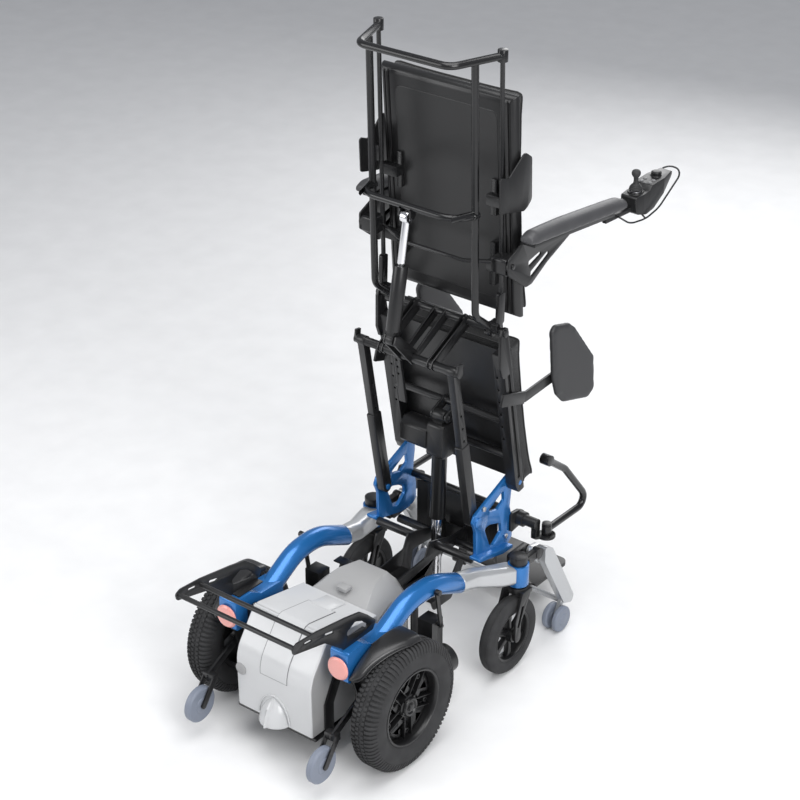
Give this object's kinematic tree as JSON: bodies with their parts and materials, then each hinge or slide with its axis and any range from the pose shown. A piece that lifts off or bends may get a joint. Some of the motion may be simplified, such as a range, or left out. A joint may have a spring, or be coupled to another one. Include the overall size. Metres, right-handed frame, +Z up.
{
  "type": "standing wheelchair",
  "caption": "Powered standing wheelchair raised to standing: parallelogram lift, reclining back, swing-away knee bars, leg rest, drive wheels, casters and joystick armrest.",
  "frame": {"origin": "middle of the footprint of the whole chair, on the floor", "axes": "+Z up, the user faces -Y, the user's right hand is towards -X"},
  "size_m": [0.633, 1.5118, 1.755],
  "materials": {
    "blue_paint": "metallic gloss paint",
    "silver_paint": "satin metallic paint",
    "black_coat": "fine black powder coat",
    "battery_case": "matte moulding",
    "white_shell": "gloss moulding",
    "grey_shell": "satin moulding",
    "black_plastic": "fine grain moulding",
    "reflector_pink": "prismatic reflector lens",
    "zinc_steel": "zinc plated",
    "black_vinyl": "soft grained vinyl",
    "grey_pad": "soft moulded foam skin",
    "chrome_rod": "ground and chromed rod",
    "black_tyre": "black tread rubber",
    "black_rim": "gloss black",
    "caster_rubber": "smooth solid rubber",
    "grey_wheel": "grey-blue polyurethane",
    "black_rubber": "soft moulded rubber",
    "grey_dial": "satin",
    "pad_grey": "satin integral skin"
  },
  "bodies": {
    "chassis": {"side_frames": "blue_paint", "front_arms": "silver_paint", "caster_heads": "blue_paint", "knee_brackets": "blue_paint", "cross_members": "black_coat", "centre_bracket": "black_coat", "battery_tray": "black_coat", "batteries": "battery_case", "rear_cover": "white_shell", "front_cover": "grey_shell", "drive_motors": "black_coat", "fenders": "black_plastic", "reflectors": "reflector_pink", "luggage_rack": "black_coat", "anti_tip_arms": "black_coat", "chassis_bolts": "zinc_steel", "calf_panel": "black_plastic"},
    "drive_wheel_left": {"drive_tyre_left": "black_tyre", "drive_rim_left": "black_rim"},
    "caster_left": {"caster_fork_left": "black_coat"},
    "caster_wheel_left": {"caster_tyre_left": "caster_rubber", "caster_rim_left": "black_rim"},
    "anti_tip_wheel_left": {"anti_tip_wheel_left": "grey_wheel"},
    "freewheel_lever_left": {"freewheel_lever_left": "black_plastic"},
    "knee_bar_left": {"knee_bar_left": "black_coat"},
    "drive_wheel_right": {"drive_tyre_right": "black_tyre", "drive_rim_right": "black_rim"},
    "caster_right": {"caster_fork_right": "black_coat"},
    "caster_wheel_right": {"caster_tyre_right": "caster_rubber", "caster_rim_right": "black_rim"},
    "anti_tip_wheel_right": {"anti_tip_wheel_right": "grey_wheel"},
    "freewheel_lever_right": {"freewheel_lever_right": "black_plastic"},
    "knee_bar_right": {"knee_bar_right": "black_coat"},
    "leg_rest": {"leg_plates": "silver_paint"},
    "support_wheel_left": {"support_wheel_left": "grey_wheel"},
    "support_wheel_right": {"support_wheel_right": "grey_wheel"},
    "footplate": {"footplate": "black_plastic"},
    "seat": {"seat_frame": "black_coat", "seat_pan": "black_plastic", "seat_cushion": "black_vinyl", "side_pad_arms": "zinc_steel", "side_pads": "grey_pad"},
    "carrier": {"hip_carrier": "black_coat"},
    "links": {"link_frame": "black_coat"},
    "back": {"back_frame": "black_coat", "back_shell": "black_plastic", "back_cushion": "black_vinyl", "lateral_supports": "black_plastic"},
    "lift_head": {"lift_actuator": "black_plastic"},
    "lift_rod": {"lift_rod": "chrome_rod"},
    "recline_body": {"recline_body": "black_plastic"},
    "recline_rod": {"recline_rod": "chrome_rod"},
    "armrest_left": {"armrest_left": "black_coat", "arm_pad_left": "pad_grey"},
    "armrest_right": {"armrest_right": "black_coat", "arm_pad_right": "pad_grey", "control_pod": "black_plastic"},
    "joystick_gimbal": {"joystick_gimbal": "black_plastic"},
    "joystick": {"joystick": "black_rubber"},
    "speed_dial": {"speed_dial": "grey_dial"}
  },
  "joints": [
    {"name": "drive_left", "type": "hinge", "parent": "chassis", "child": "drive_wheel_left", "pos_m": [0.2775, 0.43711, 0.178], "axis": [1, 0, 0], "continuous": true},
    {"name": "swivel_left", "type": "hinge", "parent": "chassis", "child": "caster_left", "pos_m": [0.25, -0.09889, 0.287], "axis": [0, 0, 1], "continuous": true},
    {"name": "caster_roll_left", "type": "hinge", "parent": "caster_left", "child": "caster_wheel_left", "pos_m": [0.25, -0.05689, 0.112], "axis": [1, 0, 0], "continuous": true},
    {"name": "anti_tip_roll_left", "type": "hinge", "parent": "chassis", "child": "anti_tip_wheel_left", "pos_m": [0.206, 0.67711, 0.096], "axis": [1, 0, 0], "continuous": true},
    {"name": "freewheel_left", "type": "hinge", "parent": "chassis", "child": "freewheel_lever_left", "pos_m": [0.223, 0.21111, 0.272], "axis": [1, 0, 0], "range_deg": [0, 35]},
    {"name": "knee_bar_left", "type": "hinge", "parent": "chassis", "child": "knee_bar_left", "pos_m": [0.248, -0.23089, 0.363], "axis": [0, 0, 1], "range_deg": [0, 80]},
    {"name": "drive_right", "type": "hinge", "parent": "chassis", "child": "drive_wheel_right", "pos_m": [-0.2775, 0.43711, 0.178], "axis": [1, 0, 0], "continuous": true},
    {"name": "swivel_right", "type": "hinge", "parent": "chassis", "child": "caster_right", "pos_m": [-0.25, -0.09889, 0.287], "axis": [0, 0, 1], "continuous": true},
    {"name": "caster_roll_right", "type": "hinge", "parent": "caster_right", "child": "caster_wheel_right", "pos_m": [-0.25, -0.05689, 0.112], "axis": [1, 0, 0], "continuous": true},
    {"name": "anti_tip_roll_right", "type": "hinge", "parent": "chassis", "child": "anti_tip_wheel_right", "pos_m": [-0.206, 0.67711, 0.096], "axis": [1, 0, 0], "continuous": true},
    {"name": "freewheel_right", "type": "hinge", "parent": "chassis", "child": "freewheel_lever_right", "pos_m": [-0.223, 0.21111, 0.272], "axis": [1, 0, 0], "range_deg": [0, 35]},
    {"name": "knee_bar_right", "type": "hinge", "parent": "chassis", "child": "knee_bar_right", "pos_m": [-0.248, -0.23089, 0.363], "axis": [0, 0, -1], "range_deg": [0, 80]},
    {"name": "leg_rest", "type": "hinge", "parent": "chassis", "child": "leg_rest", "pos_m": [0, -0.19789, 0.3], "axis": [-1, 0, 0], "range_deg": [0, 20]},
    {"name": "support_roll_left", "type": "hinge", "parent": "leg_rest", "child": "support_wheel_left", "pos_m": [0.245, -0.29889, 0.038], "axis": [1, 0, 0], "continuous": true},
    {"name": "support_roll_right", "type": "hinge", "parent": "leg_rest", "child": "support_wheel_right", "pos_m": [-0.245, -0.29889, 0.038], "axis": [1, 0, 0], "continuous": true},
    {"name": "footplate_fold", "type": "hinge", "parent": "leg_rest", "child": "footplate", "pos_m": [0, -0.33089, 0.074], "axis": [-1, 0, 0], "range_deg": [0, 80]},
    {"name": "seat_lift", "type": "hinge", "parent": "chassis", "child": "seat", "pos_m": [0, -0.16089, 0.523], "axis": [-1, 0, 0], "range_deg": [0, 75], "deforming": ["seat_cushion"]},
    {"name": "hip_level", "type": "hinge", "parent": "seat", "child": "carrier", "pos_m": [0, -0.07399, 1.00117], "axis": [-1, 0, 0], "range_deg": [-75, 0]},
    {"name": "link_swing", "type": "hinge", "parent": "chassis", "child": "links", "pos_m": [0, -0.01989, 0.452], "axis": [-1, 0, 0], "range_deg": [0, 75]},
    {"name": "recline", "type": "hinge", "parent": "carrier", "child": "back", "pos_m": [0, -0.07399, 1.00117], "axis": [-1, 0, 0], "range_deg": [0, 20]},
    {"name": "lift_head_turn", "type": "hinge", "parent": "seat", "child": "lift_head", "pos_m": [-0.012, -0.06289, 0.705], "axis": [1, 0, 0], "range_deg": [0, 56.8]},
    {"name": "lift_stroke", "type": "slide", "parent": "lift_head", "child": "lift_rod", "axis": [0, -0.0396, 0.9992], "range_m": [0, 0.2105]},
    {"name": "recline_body_turn", "type": "hinge", "parent": "carrier", "child": "recline_body", "pos_m": [0, 0.13011, 1.001], "axis": [-1, 0, 0], "range_deg": [0, 19.9]},
    {"name": "recline_stroke", "type": "slide", "parent": "recline_body", "child": "recline_rod", "axis": [0, 0.186, -0.9826], "range_m": [0, 0.0716]},
    {"name": "armrest_left", "type": "hinge", "parent": "back", "child": "armrest_left", "pos_m": [0.234, -0.04989, 1.205], "axis": [-1, 0, 0], "range_deg": [0, 90]},
    {"name": "armrest_right", "type": "hinge", "parent": "back", "child": "armrest_right", "pos_m": [-0.234, -0.04989, 1.205], "axis": [-1, 0, 0], "range_deg": [0, 90]},
    {"name": "joystick_pitch", "type": "hinge", "parent": "armrest_right", "child": "joystick_gimbal", "pos_m": [-0.262, -0.56989, 1.24], "axis": [1, 0, 0], "range_deg": [-18, 18], "stiffness_Nm_per_rad": 0.05},
    {"name": "joystick_roll", "type": "hinge", "parent": "joystick_gimbal", "child": "joystick", "pos_m": [-0.262, -0.56989, 1.24], "axis": [0, 0.9994, -0.0349], "range_deg": [-18, 18], "stiffness_Nm_per_rad": 0.05},
    {"name": "speed_dial", "type": "hinge", "parent": "armrest_right", "child": "speed_dial", "pos_m": [-0.262, -0.66934, 1.25748], "axis": [0, 0.0349, 0.9994], "range_deg": [-135, 135]}
  ],
  "couplings": [
    {"joint": "link_swing", "follows": "seat_lift", "ratio": 1},
    {"joint": "hip_level", "follows": "seat_lift", "ratio": -1},
    {"joint": "leg_rest", "follows": "seat_lift", "ratio": 0.26667},
    {"joint": "lift_head_turn", "follows": "seat_lift", "ratio": 0.75102},
    {"joint": "lift_stroke", "follows": "seat_lift", "m_per_rad": 0.16002},
    {"joint": "recline_body_turn", "follows": "recline", "ratio": 0.96923},
    {"joint": "recline_stroke", "follows": "recline", "m_per_rad": 0.20223}
  ]
}
